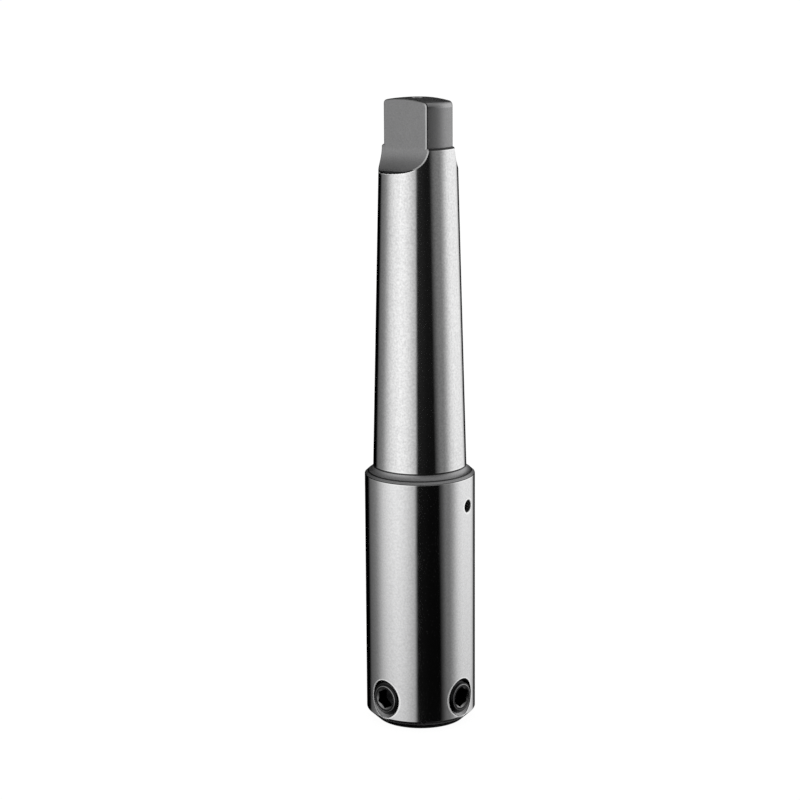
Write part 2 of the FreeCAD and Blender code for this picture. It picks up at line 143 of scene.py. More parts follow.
class Skin:
    """Grids of points, each with its own normals, welded where they meet."""

    def __init__(self):
        self.corners, self.normals, self.slots = [], [], []

    def quads(self, corners, normals, slot):
        self.corners.append(corners.reshape(-1, 4, 3))
        self.normals.append(normals.reshape(-1, 4, 3))
        self.slots.append(np.full(len(self.corners[-1]), slot))

    def grid(self, points, normals, slot, closed=False, keep=None):
        """points and normals are rows x columns x 3. keep says which cells stay."""
        if closed:
            points = np.concatenate([points, points[:, :1]], axis=1)
            normals = np.concatenate([normals, normals[:, :1]], axis=1)

        def cells(a):
            return np.stack([a[:-1, :-1], a[:-1, 1:], a[1:, 1:], a[1:, :-1]], axis=2)

        p, n = cells(points), cells(normals)
        if keep is not None:
            p, n = p[keep], n[keep]
        self.quads(p, n, slot)

    def zip(self, ring_a, normals_a, ring_b, normals_b, slot):
        """Join two closed rings with different numbers of points by triangles."""
        turn_a = np.unwrap(np.arctan2(ring_a[:, 1], ring_a[:, 0]))
        turn_b = np.unwrap(np.arctan2(ring_b[:, 1], ring_b[:, 0]))
        turn_b += 2 * math.pi * round((turn_a[0] - turn_b[0]) / (2 * math.pi))
        start = int(np.argmin(np.abs(turn_b - turn_a[0])))
        ring_b, normals_b = np.roll(ring_b, -start, axis=0), np.roll(normals_b, -start, axis=0)
        turn_b = np.unwrap(np.roll(turn_b, -start))
        count_a, count_b = len(ring_a), len(ring_b)
        i = j = 0
        corners, normals = [], []
        while i < count_a or j < count_b:
            next_a = turn_a[(i + 1) % count_a] + 2 * math.pi * ((i + 1) // count_a)
            next_b = turn_b[(j + 1) % count_b] + 2 * math.pi * ((j + 1) // count_b)
            a, b = i % count_a, j % count_b
            if j >= count_b or (i < count_a and next_a <= next_b):
                i += 1
                c = i % count_a
                corners.append([ring_a[a], ring_a[c], ring_b[b], ring_b[b]])
                normals.append([normals_a[a], normals_a[c], normals_b[b], normals_b[b]])
            else:
                j += 1
                c = j % count_b
                corners.append([ring_a[a], ring_b[c], ring_b[b], ring_b[b]])
                normals.append([normals_a[a], normals_b[c], normals_b[b], normals_b[b]])
        self.quads(np.array(corners), np.array(normals), slot)

    def build(self, name, materials):
        """Weld the points, drop cells without area and make the Blender object."""
        corners = np.concatenate(self.corners)
        normals = unit(np.concatenate(self.normals))
        slots = np.concatenate(self.slots)
        keys = np.round(corners.reshape(-1, 3) * 1e4).astype(np.int64)
        _, first, index = np.unique(keys, axis=0, return_index=True, return_inverse=True)
        vertices = corners.reshape(-1, 3)[first] * MM
        faces = index.reshape(-1, 4)
        facing = np.cross(corners[:, 2] - corners[:, 0], corners[:, 3] - corners[:, 1])
        backwards = (facing * normals.sum(axis=1)).sum(axis=1) < 0
        faces[backwards] = faces[backwards][:, ::-1]
        normals[backwards] = normals[backwards][:, ::-1]
        kept_faces, kept_normals, kept_slots = [], [], []
        for face, normal, slot in zip(faces.tolist(), normals, slots.tolist()):
            picks = [k for k in range(4) if face[k] != face[k - 1]]
            if len(picks) > 2 and len({face[k] for k in picks}) == len(picks):
                kept_faces.append([face[k] for k in picks])
                kept_normals.append(normal[picks])
                kept_slots.append(slot)
        mesh = bpy.data.meshes.new(name)
        mesh.from_pydata(vertices.tolist(), [], kept_faces)
        mesh.polygons.foreach_set("material_index", kept_slots)
        mesh.polygons.foreach_set("use_smooth", [True] * len(kept_faces))
        mesh.update()
        mesh.normals_split_custom_set(np.concatenate(kept_normals).tolist())
        for material in materials:
            mesh.materials.append(material)
        piece = bpy.data.objects.new(name, mesh)
        bpy.context.scene.collection.objects.link(piece)
        return piece


def slopes(points):
    """Normals of a smooth grid that closes on itself, from its own differences."""
    across = np.roll(points, -1, axis=1) - np.roll(points, 1, axis=1)
    return unit(np.cross(across, np.gradient(points, axis=0)))


def around(profile, turns):
    """Points and normals of a turned surface. profile rows are (r, z, nr, nz)."""
    profile = np.array(profile)
    c, s = np.cos(turns), np.sin(turns)
    r, z, nr, nz = (profile[:, k:k + 1] for k in range(4))
    points = np.stack([r * c, r * s, z + 0 * c], axis=2)
    normals = np.stack([nr * c, nr * s, nz + 0 * c], axis=2)
    return points, normals


def section(corners, side=1, steps=5):
    """Profile rows through (r, z, rounding) corners. The solid lies to the left if side is 1."""
    p = np.array([c[:2] for c in corners], float)
    rounding = [c[2] if len(c) > 2 else 0.0 for c in corners]
    d = unit(p[1:] - p[:-1])
    n = np.stack([d[:, 1], -d[:, 0]], axis=1) * side
    rows = [(*p[0], *n[0])]
    for i in range(1, len(p) - 1):
        if rounding[i] == 0:
            rows += [(*p[i], *n[i - 1]), (*p[i], *n[i])]
            continue
        start = p[i] - d[i - 1] * rounding[i]
        end = p[i] + d[i] * rounding[i]
        for t in np.linspace(0, 1, steps):
            q = (1 - t) ** 2 * start + 2 * t * (1 - t) * p[i] + t * t * end
            tangent = (1 - t) * (p[i] - start) + t * (end - p[i])
            tangent /= np.linalg.norm(tangent)
            rows.append((*q, tangent[1] * side, -tangent[0] * side))
    rows.append((*p[-1], *n[-1]))
    return rows


def wall(skin, radius, turns, heights, slot, side, windows):
    """A round wall with rectangular windows left out. A window is (first, last, low, high) indices."""
    profile = [(radius, z, side, 0) for z in heights]
    points, normals = around(profile, turns)
    keep = np.ones((len(heights) - 1, len(turns)), bool)
    for first, last, low, high in windows:
        for k in range(first, last):
            keep[low:high, k % len(turns)] = False
    skin.grid(points, normals, slot, closed=True, keep=keep)


class Hole:
    """A radial hole with a conical mouth. Its own x runs to the right, y up, and out along its axis."""

    def __init__(self, turn, height, radius, cone):
        self.u = np.array([math.cos(turn), math.sin(turn), 0.0])
        self.v = np.array([-math.sin(turn), math.cos(turn), 0.0])
        self.turn, self.height, self.radius, self.cone = turn, height, radius, cone
        self.spokes = self.wall_start = None

    def place(self, x, y, out):
        x, y, out = (np.asarray(a, float)[..., None] for a in (x, y, out))
        return self.v * x + np.array([0.0, 0.0, 1.0]) * (y + self.height) + self.u * out

    def aim(self, x, y, out):
        """As place, for a direction."""
        return self.place(x, y, out) - np.array([0.0, 0.0, self.height])

    def window(self, turns, heights, box):
        """The points round a window in a wall, as angles from the hole's axis and heights from it."""
        first, last, low, high = box
        a = [math.remainder(turns[k % len(turns)] - self.turn, 2 * math.pi) for k in range(first, last + 1)]
        z = [heights[k] - self.height for k in range(low, high + 1)]
        path = [(t, z[0]) for t in a] + [(a[-1], h) for h in z[1:]]
        path += [(t, z[-1]) for t in a[-2::-1]] + [(a[0], h) for h in z[-2:0:-1]]
        return np.array(path)

    def rim(self, spokes):
        """Where the conical mouth meets the body's round wall."""
        r = np.full(len(spokes), self.cone)
        for _ in range(40):
            depth = BODY_RADIUS - np.sqrt(BODY_RADIUS ** 2 - (r * np.cos(spokes)) ** 2)
            r = np.maximum(self.cone - depth, self.radius + 0.02)
        return r

    def patch(self, skin, wall_radius, window, spokes, rim, slot, side):
        """Fill the wall between a window and a rim."""
        edge = np.stack([wall_radius * np.sin(window[:, 0]), window[:, 1]], axis=1)
        hoop = np.stack([rim * np.cos(spokes), rim * np.sin(spokes)], axis=1)
        t = np.linspace(0, 1, 7)[:, None, None]
        flat = hoop * (1 - t) + edge * t
        points = self.place(flat[..., 0], flat[..., 1], np.sqrt(wall_radius ** 2 - flat[..., 0] ** 2))
        skin.grid(points, unit(points * np.array([1, 1, 0])) * side, slot, closed=True)

    def lined(self, skin, r, out, spokes, slot, keep=None):
        """A surface inside the hole from rows of radii and places along the axis."""
        points = self.place(r * np.cos(spokes), r * np.sin(spokes), out)
        normals = slopes(points)
        inward = self.aim(-np.cos(spokes), -np.sin(spokes), np.ones(r.shape) * 0.9)
        skin.grid(points, np.where((normals * inward).sum(axis=-1, keepdims=True) < 0, -normals, normals),
                  slot, closed=True, keep=keep)

    def open_body(self, skin, turns, heights, box, cone_slots):
        """The mouth in the body's outside: the wall up to it, a band painted as a highlight, a rounded lip
        and the cone.
        """
        window = self.window(turns, heights, box)
        spokes = spokes_of(window, BODY_RADIUS)
        self.spokes = spokes
        rim = self.rim(spokes)
        # A band painted as a highlight round the mouth
        bright = MOUTH_LIP + MOUTH_BAND * (1 + 0.5 * np.cos(spokes) ** 2)
        self.patch(skin, BODY_RADIUS, window, spokes, rim + bright, GROUND_SLOT, 1)
        band = np.linspace(bright, MOUTH_LIP + 0 * bright, 3) + rim
        x = band * np.cos(spokes)
        points = self.place(x, band * np.sin(spokes), np.sqrt(BODY_RADIUS ** 2 - x ** 2))
        skin.grid(points, unit(points * np.array([1, 1, 0])), HIGHLIGHT_RIM_SLOT, closed=True)
        drop = np.minimum(MOUTH_LIP, (rim - self.radius) * 0.6)
        level = np.sqrt(BODY_RADIUS ** 2 - (rim * np.cos(spokes)) ** 2)
        edge = rim + MOUTH_LIP
        start = np.stack([edge, np.sqrt(BODY_RADIUS ** 2 - (edge * np.cos(spokes)) ** 2)])
        sharp, inner = np.stack([rim, level]), np.stack([rim - drop, level - drop])
        t = np.linspace(0, 1, 7)[:, None, None]
        curve = (1 - t) ** 2 * start + 2 * t * (1 - t) * sharp + t * t * inner
        self.lined(skin, curve[:, 0], curve[:, 1], np.broadcast_to(spokes, curve[:, 0].shape), cone_slots[1])
        t = np.linspace(0, 1, 6)[:, None]
        bottom = BODY_RADIUS - (self.cone - self.radius)
        r = inner[0] * (1 - t) + self.radius * t
        out = inner[1] * (1 - t) + np.minimum(bottom, inner[1] - 0.01) * t
        around_spokes = np.broadcast_to(spokes, r.shape)
        low_side = np.broadcast_to(np.sin(spokes) < -0.3, (len(r) - 1, len(spokes)))
        self.lined(skin, r, out, around_spokes, cone_slots[0], low_side)
        self.lined(skin, r, out, around_spokes, cone_slots[1], ~low_side)
        self.wall_start = out[-1]

    def through(self, skin, inner_radius, turns, heights, box, slot, rows, thread=0.0):
        """The hole's wall down to a round room inside, and that room's wall up to the hole."""
        window = self.window(turns, heights, box)
        inner_spokes = spokes_of(window, inner_radius)
        t = np.linspace(0, 1, rows)[:, None]
        spokes = self.spokes * (1 - t) + inner_spokes * t
        low = np.sqrt(inner_radius ** 2 - (self.radius * np.cos(spokes)) ** 2)
        out = self.wall_start + (low - self.wall_start) * t
        phase = np.mod(out / PITCH - spokes / (2 * math.pi), 1)
        ridge = np.clip(1.35 * (1 - np.abs(phase * 2 - 1)), 0, 1)
        fade = np.clip(np.minimum(t * 12, (1 - t) * 12), 0, 1)
        self.lined(skin, self.radius + thread * ridge * fade, out, spokes, slot)
        self.patch(skin, inner_radius, window, inner_spokes, self.radius, BORED_SLOT, -1)


def spokes_of(window, wall_radius):
    x = wall_radius * np.sin(window[:, 0])
    return np.unwrap(np.arctan2(window[:, 1], x))


# Materials

def node_material(name):
    material = bpy.data.materials.new(name)
    material.use_nodes = True
    tree = material.node_tree
    return material, tree, tree.nodes["Principled BSDF"]


def link(tree, source, output, target, name):
    tree.links.new(source.outputs[output], target.inputs[name])


def noise_node(tree, coords, scale, stretch=(1, 1, 1)):
    mapping = tree.nodes.new("ShaderNodeMapping")
    mapping.inputs["Scale"].default_value = stretch
    noise = tree.nodes.new("ShaderNodeTexNoise")
    noise.inputs["Scale"].default_value = scale
    noise.inputs["Detail"].default_value = 3.0
    link(tree, coords, "Object", mapping, "Vector")
    link(tree, mapping, "Vector", noise, "Vector")
    return noise


def ramp_node(tree, source, output, low, high, value_low, value_high):
    ramp = tree.nodes.new("ShaderNodeMapRange")
    values = {"From Min": low, "From Max": high, "To Min": value_low, "To Max": value_high}
    for key, value in values.items():
        ramp.inputs[key].default_value = value
    link(tree, source, output, ramp, "Value")
    return ramp


def steel(name, color, roughness, spread, grain_scale, grain_depth, tone, stretch=(1, 1, 1),
          metallic=1.0, ior=1.5):
    """Bare steel: a fine grain in relief, and roughness and tone that vary a little over the surface."""
    material, tree, shader = node_material(name)
    shader.inputs["Metallic"].default_value = metallic
    shader.inputs["IOR"].default_value = ior
    coords = tree.nodes.new("ShaderNodeTexCoord")
    grain = noise_node(tree, coords, grain_scale, stretch)
    cloud = noise_node(tree, coords, 90.0)
    rough = ramp_node(tree, cloud, "Fac", 0.35, 0.65, roughness - spread, roughness + spread)
    link(tree, rough, "Result", shader, "Roughness")
    mix = tree.nodes.new("ShaderNodeMix")
    mix.data_type = "RGBA"
    dark = [c * (1 - tone) for c in color]
    light = [min(1.0, c * (1 + tone)) for c in color]
    mix.inputs["A"].default_value = (*dark, 1)
    mix.inputs["B"].default_value = (*light, 1)
    level = ramp_node(tree, grain, "Fac", 0.3, 0.7, 0.0, 1.0)
    link(tree, level, "Result", mix, "Factor")
    link(tree, mix, "Result", shader, "Base Color")
    bump = tree.nodes.new("ShaderNodeBump")
    bump.inputs["Strength"].default_value = 1.0
    bump.inputs["Distance"].default_value = grain_depth
    link(tree, grain, "Fac", bump, "Height")
    link(tree, bump, "Normal", shader, "Normal")
    return material


GROUND = steel("ground_steel", (0.87, 0.87, 0.875), 0.09, 0.025, 1500.0, 0.0000012, tone=0.1)
TAPER = steel("ground_taper", (0.87, 0.87, 0.875), 0.09, 0.025, 1500.0, 0.0000035, tone=0.15)
MATTE = steel("matte_steel", (0.46, 0.46, 0.465), 0.42, 0.05, 1800.0, 0.000004, tone=0.05)
BORED = steel("bored_steel", (0.45, 0.45, 0.45), 0.38, 0.05, 1500.0, 0.000004, tone=0.05)
TANG = steel("milled_steel", (0.48, 0.48, 0.484), 0.36, 0.05, 2200.0, 0.000004, tone=0.12)
# Dark scale on the shank's round end and dome; also painted shade on the flats' cut just above their foot
SCALE_AND_SHADE = steel("dark_scale_and_shade", (0.3, 0.3, 0.303), 0.3, 0.05, 2200.0, 0.000004, tone=0.1,
              metallic=0.86, ior=2.0)
# Painted highlight: steel brighter than the ground steel, laid in narrow bands along edges
EDGE_HIGHLIGHT = steel("painted_highlight_edge", (1.0, 1.0, 1.0), 0.1, 0.02, 2600.0, 0.000001, tone=0.02)
# Painted highlight: bright steel with a diffuse share, in bands round the mouths and beside the flats' foot
HIGHLIGHT_RIM = steel("painted_highlight_rim", (1.0, 1.0, 1.0), 0.15, 0.03, 2600.0, 0.000001, tone=0.02, metallic=0.75)
# Painted shade: near-black lines in the corners beside edges, where shade falls
SHADE_LINE = steel("painted_shade_line", (0.08, 0.08, 0.082), 0.35, 0.05, 2600.0, 0.000002, tone=0.1)
OXIDE = steel("black_oxide", (0.03, 0.03, 0.031), 0.25, 0.06, 2500.0, 0.000003, tone=0.2)
# Worn oxide on the screws' edges, lightened also as a painted highlight where those edges catch light
WORN_OXIDE_AND_HIGHLIGHT = steel("worn_oxide_and_highlight", (0.32, 0.32, 0.32), 0.25, 0.05, 2500.0, 0.000002, tone=0.15)
# Painted shade: near-black steel where shade falls in threads, sockets, countersinks and at the flats' foot
SHADE_RECESS = steel("painted_shade_recess", (0.02, 0.02, 0.021), 0.4, 0.06, 2500.0, 0.000003, tone=0.2)
SPRING = steel("spring_steel", (0.45, 0.45, 0.44), 0.25, 0.05, 1500.0, 0.000003, tone=0.05)
TURNED = steel("turned_steel", (0.55, 0.55, 0.55), 0.3, 0.05, 300.0, 0.000003, tone=0.05,
               stretch=(1, 1, 12))
(GROUND_SLOT, MATTE_SLOT, BORED_SLOT, SHADE_RECESS_SLOT, EDGE_HIGHLIGHT_SLOT, TANG_SLOT, HIGHLIGHT_RIM_SLOT, SHADE_LINE_SLOT, TAPER_SLOT,
 SCALE_AND_SHADE_SLOT, TURNED_SLOT) = range(11)


# The arbor's body

def taper_radius(z):
    return GAUGE_RADIUS - (z - GAUGE_HEIGHT) * TAPER_SLOPE


def of_cells(mark):
    """The share of each cell's corners that are marked."""
    mark = (mark[:-1].astype(float) + mark[1:]) / 2
    return (mark + np.roll(mark, -1, axis=1)) / 2


def tang_rows():
    """Profile rows of the uncut shank end with, for each, the height its ray leaves the axis from."""
    rows = []
    cone = math.hypot(1, TAPER_SLOPE)
    top = STEP - TAPER_EDGE_BREAK
    for z in np.linspace(TAPER_JOINT, TAPER_DENSE, 8):
        slope = (z - TAPER_JOINT) / (TAPER_DENSE - TAPER_JOINT)
        rows.append((taper_radius(z), z, 1 / cone, TAPER_SLOPE / cone, z - slope * taper_radius(z)))
    for z in np.linspace(TAPER_DENSE, top, 76)[1:]:
        rows.append((taper_radius(z), z, 1 / cone, TAPER_SLOPE / cone, z - taper_radius(z)))
    edge = [(taper_radius(top), top), (taper_radius(STEP) - TAPER_EDGE_BREAK, STEP),
            (TANG_RADIUS, STEP, 0.15), (TANG_RADIUS, STEP + 1)]
    for r, z, nr, nz in section(edge, steps=6)[:-1]:
        rows.append((r, z, nr, nz, z - r))
    first, last = STEP + 0.3, END - DOME_RISE - TANG_CORNER
    low, high = first - TANG_RADIUS, RAY_TOP
    heights = np.concatenate([np.linspace(first, first + 6, 26), np.linspace(first + 6.3, last - 0.2, 14)])
    for z in heights:
        t = (z - first) / (last - first)
        rows.append((TANG_RADIUS, z, 1.0, 0.0, low + (high - low) * t))
    sphere = END - DOME_RADIUS
    centre_r = TANG_RADIUS - TANG_CORNER
    centre_z = sphere + math.sqrt((DOME_RADIUS - TANG_CORNER) ** 2 - centre_r ** 2)
    lean = math.atan2(centre_z - sphere, centre_r)
    for a in np.linspace(0, lean, 11):
        c, s = math.cos(a), math.sin(a)
        rows.append((centre_r + TANG_CORNER * c, centre_z + TANG_CORNER * s, c, s, high))
    outer = DOME_RADIUS * math.cos(lean)
    for r in np.linspace(outer, DOME_JOINT, 40)[1:]:
        s = math.sqrt(1 - (r / DOME_RADIUS) ** 2)
        rows.append((r, sphere + DOME_RADIUS * s, r / DOME_RADIUS, s, high))
    return np.array(rows)


def tang_turns():
    """Column angles, closer together beside the flats' upright edges."""
    edge = math.degrees(math.acos(FLAT_HALF / TANG_RADIUS))
    normal = -math.degrees(FLAT_TURN) - 90
    fine = []
    for middle in (edge, 180 - edge, 180 + edge, 360 - edge):
        fine += list(np.arange(-3.0, 3.01, 0.2) + middle)
    coarse = [a for a in np.arange(0, 360, 0.6) if min(abs(a - f) for f in fine) > 0.3]
    return np.radians(np.array(sorted(coarse + fine)) + normal)


def add_tang(skin):
    """The shank's end. Rays are cut back to what lies deepest: its turned form, the flats or their bevel."""
    rows, turns = tang_rows(), tang_turns()
    base, base_normals = around(rows[:, :4], turns)
    origins = np.zeros_like(base)
    origins[..., 2] = rows[:, 4:5]
    ray = base - origins
    length = np.linalg.norm(ray, axis=-1)
    climb = (unit(ray) * base_normals).sum(axis=-1)
    front = np.array([-math.sin(FLAT_TURN), -math.cos(FLAT_TURN), 0.0])

    def state(t):
        """Points along the rays, how far they lie outside the turned form and the cut, and their rise."""
        points = origins + ray * t[..., None]
        a = (t - 1) * length * climb
        far = points @ front < 0
        direction = np.where(far[..., None], -front, front)
        n = (points * direction).sum(axis=-1)
        aside = points[..., 1] * direction[..., 0] - points[..., 0] * direction[..., 1]
        z = points[..., 2] - RUNOUT_SLANT * aside
        centre_n, centre_z = FLAT_HALF + RUNOUT_RADIUS, FLAT_FOOT + RUNOUT_RADIUS
        reach = np.maximum(np.hypot(n - centre_n, z - centre_z), 1e-9)
        on_arc = z < centre_z
        b = np.where(on_arc, RUNOUT_RADIUS - reach, n - FLAT_HALF)
        away_n = np.where(on_arc, (centre_n - n) / reach, 1.0)
        away_z = np.where(on_arc, (centre_z - z) / reach, 0.0)
        b_normal = away_n[..., None] * direction + away_z[..., None] * np.array([0, 0, 1.0])
        b = np.where(z < FLAT_FOOT - 2, NOT_CUT, b)
        return points, a, b, b_normal, z - FLAT_FOOT

    low, high = np.zeros(length.shape), np.ones(length.shape)
    for _ in range(36):
        middle = (low + high) / 2
        _, a, b, _, _ = state(middle)
        inside = (a < 0) & (b < 0) & (a + b + FLAT_BEVEL < 0)
        low, high = np.where(inside, middle, low), np.where(inside, high, middle)
    points, a, b, b_normal, rise = state(high)
    beveled = (a < -ON_SURFACE) & (b < -ON_SURFACE) & (a + b + FLAT_BEVEL > -ON_SURFACE)
    milled = (b >= a) & ~beveled
    beside = ~milled & ~beveled & (b > -FLAT_BEVEL - SHADE_LINE_BAND)
    in_shade = (milled & (rise < FOOT_DARK)) | (beveled & (rise < BEVEL_DARK))
    normals = np.where(beveled[..., None], unit(base_normals + b_normal),
                       np.where(milled[..., None], b_normal, base_normals))
    slots = np.full(of_cells(milled).shape, SCALE_AND_SHADE_SLOT)
    middle = (rows[1:, 1] + rows[:-1, 1]) / 2
    chamfer = STEP - TAPER_EDGE_BREAK
    on_taper = middle < chamfer
    slots[on_taper] = TAPER_SLOT
    # Painted highlight in a band below the taper's edge, and a line of painted shade at the step
    slots[on_taper & (middle > chamfer - HIGHLIGHT_BAND)] = EDGE_HIGHLIGHT_SLOT
    slots[~on_taper & (middle < STEP + 0.1)] = SHADE_LINE_SLOT
    corner_foot = END - DOME_RISE - TANG_CORNER
    slots[(middle > corner_foot - 0.1) & (rows[1:, 0] > TANG_RADIUS - 0.9)] = TANG_SLOT
    # Painted shade beside the flats on the round, and a painted highlight beside their foot
    beside = of_cells(beside) > 0.5
    slots[beside & ~on_taper[:, None]] = SHADE_RECESS_SLOT
    slots[beside & (of_cells(rise < FOOT_BRIGHT) > 0.5)] = HIGHLIGHT_RIM_SLOT
    slots[of_cells(milled) > 0.5] = TANG_SLOT
    # Painted shade on the cut just above the flats' foot, darkest on the cut and its bevel nearest the foot
    slots[of_cells(milled & (rise < FOOT_DIM_SHADE)) > 0.5] = SCALE_AND_SHADE_SLOT
    slots[of_cells(beveled) >= 0.5] = TURNED_SLOT
    slots[of_cells(in_shade) >= 0.5] = SHADE_RECESS_SLOT
    for slot in (TAPER_SLOT, TANG_SLOT, SCALE_AND_SHADE_SLOT, TURNED_SLOT,
                 EDGE_HIGHLIGHT_SLOT, HIGHLIGHT_RIM_SLOT, SHADE_LINE_SLOT, SHADE_RECESS_SLOT):
        skin.grid(points, normals, slot, closed=True, keep=slots == slot)
    return points[0], normals[0], points[-1], normals[-1]


def add_tang_centre(skin, ring, normals):
    """The middle of the dome and the turning centre in it."""
    turns = np.radians(np.arange(0, 360, 3.75))
    sphere = END - DOME_RADIUS
    rows = []
    for r in np.linspace(DOME_JOINT - 0.2, CENTRE_MOUTH + 0.15, 6):
        s = math.sqrt(1 - (r / DOME_RADIUS) ** 2)
        rows.append((r, sphere + DOME_RADIUS * s, r / DOME_RADIUS, s))
    mouth_z = sphere + math.sqrt(DOME_RADIUS ** 2 - CENTRE_MOUTH ** 2)
    cone_z = END - (CENTRE_MOUTH - CENTRE_PILOT) * math.sqrt(3)
    points, row_normals = around(rows, turns)
    skin.zip(ring, normals, points[0], row_normals[0], SCALE_AND_SHADE_SLOT)
    skin.grid(points, row_normals, SCALE_AND_SHADE_SLOT, closed=True)
    inside = section([
        (rows[-1][0], rows[-1][1]),
        (CENTRE_MOUTH, mouth_z, 0.12),
        (CENTRE_PILOT, cone_z, 0.05),
        (CENTRE_PILOT, END - CENTRE_DEPTH, 0.05),
        (0, END - CENTRE_DEPTH),
    ], side=-1)
    inside = [(r, z, -nr, -nz) for r, z, nr, nz in inside]
    skin.grid(*around(inside, turns), TANG_SLOT, closed=True)


def turned(skin, corners, turns, slot, side=1):
    """A turned surface through corners, welded along its ends."""
    points, normals = around(section(corners, side, steps=6), turns)
    skin.grid(points, normals, slot, closed=True)


def add_outside(skin, holes, tang_ring, tang_normals):
    """The nose, the body with its three mouths, the shoulder and the taper up to the tang's mesh."""
    turns = np.radians(np.arange(0, 360, 1.0))
    low = NOSE_CHAMFER_TOP + HIGHLIGHT_BAND
    high = SHOULDER_EDGE - HIGHLIGHT_BAND
    nose = [(BORE_RADIUS + BORE_CHAMFER, 0), (NOSE_FACE_RADIUS, 0, 0.15), *on_nose(0.12)]
    turned(skin, nose, turns, MATTE_SLOT)
    # Bands painted on the nose chamfer: painted shade from 0.12 to 0.4 and from 0.8 to 0.95, and a painted
    # highlight from 0.4 to 0.52
    bands = ((0.12, 0.4, SHADE_LINE_SLOT), (0.4, 0.52, EDGE_HIGHLIGHT_SLOT),
             (0.52, 0.8, MATTE_SLOT), (0.8, 0.95, SHADE_LINE_SLOT))
    for first, last, slot in bands:
        turned(skin, [*on_nose(first), *on_nose(last)], turns, slot)
    # A painted highlight runs round the chamfer's top corner onto the body
    edge = [*on_nose(0.95), (BODY_RADIUS, NOSE_CHAMFER_TOP, 0.15), (BODY_RADIUS, low)]
    turned(skin, edge, turns, EDGE_HIGHLIGHT_SLOT)
    screw_zone = np.linspace(low, SCREW_ZONE_TOP, 45)
    cross_zone = np.linspace(*CROSS_ZONE, 21)
    middle = np.linspace(SCREW_ZONE_TOP, CROSS_ZONE[0], 12)[1:-1]
    heights = np.concatenate([screw_zone, middle, cross_zone, [83.0, high]])
    cross_low = len(screw_zone) + len(middle)
    # Windows in the wall: first and last column, a degree each, then lowest and highest row
    boxes = [(-115, -65, 0, 44), (-25, 25, 0, 44), (1, 22, cross_low, cross_low + 20)]
    wall(skin, BODY_RADIUS, turns, heights, GROUND_SLOT, 1, boxes)
    # Screw mouths: the cone's low side in milled steel, its lip and the rest painted shade; the cross hole's
    # cone and lip are a painted highlight
    screw_cone, cross_cone = (TANG_SLOT, SHADE_RECESS_SLOT), (HIGHLIGHT_RIM_SLOT, HIGHLIGHT_RIM_SLOT)
    for hole, box, cone_slots in zip(holes, boxes, (screw_cone, screw_cone, cross_cone)):
        hole.open_body(skin, turns, heights, box, cone_slots)
    add_shoulder(skin, turns, high)
    cone = math.hypot(1, TAPER_SLOPE)
    heights = [NECK_END, NECK_END + HIGHLIGHT_BAND, 110.0, 130.0, TAPER_JOINT - 1]
    taper = [(taper_radius(z), z, 1 / cone, TAPER_SLOPE / cone) for z in heights]
    points, normals = around(taper, turns)
    # A painted highlight band at the taper's foot
    skin.grid(points[:2], normals[:2], EDGE_HIGHLIGHT_SLOT, closed=True)
    skin.grid(points[1:], normals[1:], TAPER_SLOT, closed=True)
    skin.zip(points[-1], normals[-1], tang_ring, tang_normals, TAPER_SLOT)


def add_shoulder(skin, turns, low):
    """The chamfer above the body and the hollow round up to the taper, with a painted highlight on the
    body's edge and a line of painted shade in each corner.
    """
    top_r, top_z = SHOULDER_TOP
    lean = math.atan2(top_z - SHOULDER_EDGE, BODY_RADIUS - top_r)

    def on_chamfer(distance):
        return BODY_RADIUS - distance * math.cos(lean), SHOULDER_EDGE + distance * math.sin(lean)

    width = math.hypot(BODY_RADIUS - top_r, top_z - SHOULDER_EDGE)
    bright, dark, matte = on_chamfer(0.06), on_chamfer(0.3), on_chamfer(width - 0.4)
    # A painted highlight on the body's edge, a line of painted shade, the matte chamfer, and another line of
    # painted shade
    turned(skin, [(BODY_RADIUS, low), (BODY_RADIUS, SHOULDER_EDGE, 0.05), bright], turns, EDGE_HIGHLIGHT_SLOT)
    turned(skin, [bright, dark], turns, SHADE_LINE_SLOT)
    turned(skin, [dark, matte], turns, MATTE_SLOT)
    turned(skin, [matte, (top_r, top_z)], turns, SHADE_LINE_SLOT)
    across, rise = top_r - taper_radius(NECK_END), NECK_END - top_z
    radius = (across ** 2 + rise ** 2) / across / 2
    angles = np.linspace(math.asin(rise / radius), 0, 17)
    rows = [(taper_radius(NECK_END) + radius * (1 - math.cos(a)), NECK_END - radius * math.sin(a),
             math.cos(a), math.sin(a)) for a in angles]
    points, normals = around(rows, turns)
    # Lines of painted shade at both ends of the hollow
    for first, last, slot in ((0, 1, SHADE_LINE_SLOT), (1, 13, MATTE_SLOT), (13, 16, SHADE_LINE_SLOT)):
        skin.grid(points[first:last + 1], normals[first:last + 1], slot, closed=True)


def on_nose(share):
    """A point of the nose chamfer, by how far up it lies, as a list of one corner."""
    return [(NOSE_FACE_RADIUS + (BODY_RADIUS - NOSE_FACE_RADIUS) * share, NOSE_CHAMFER_TOP * share)]


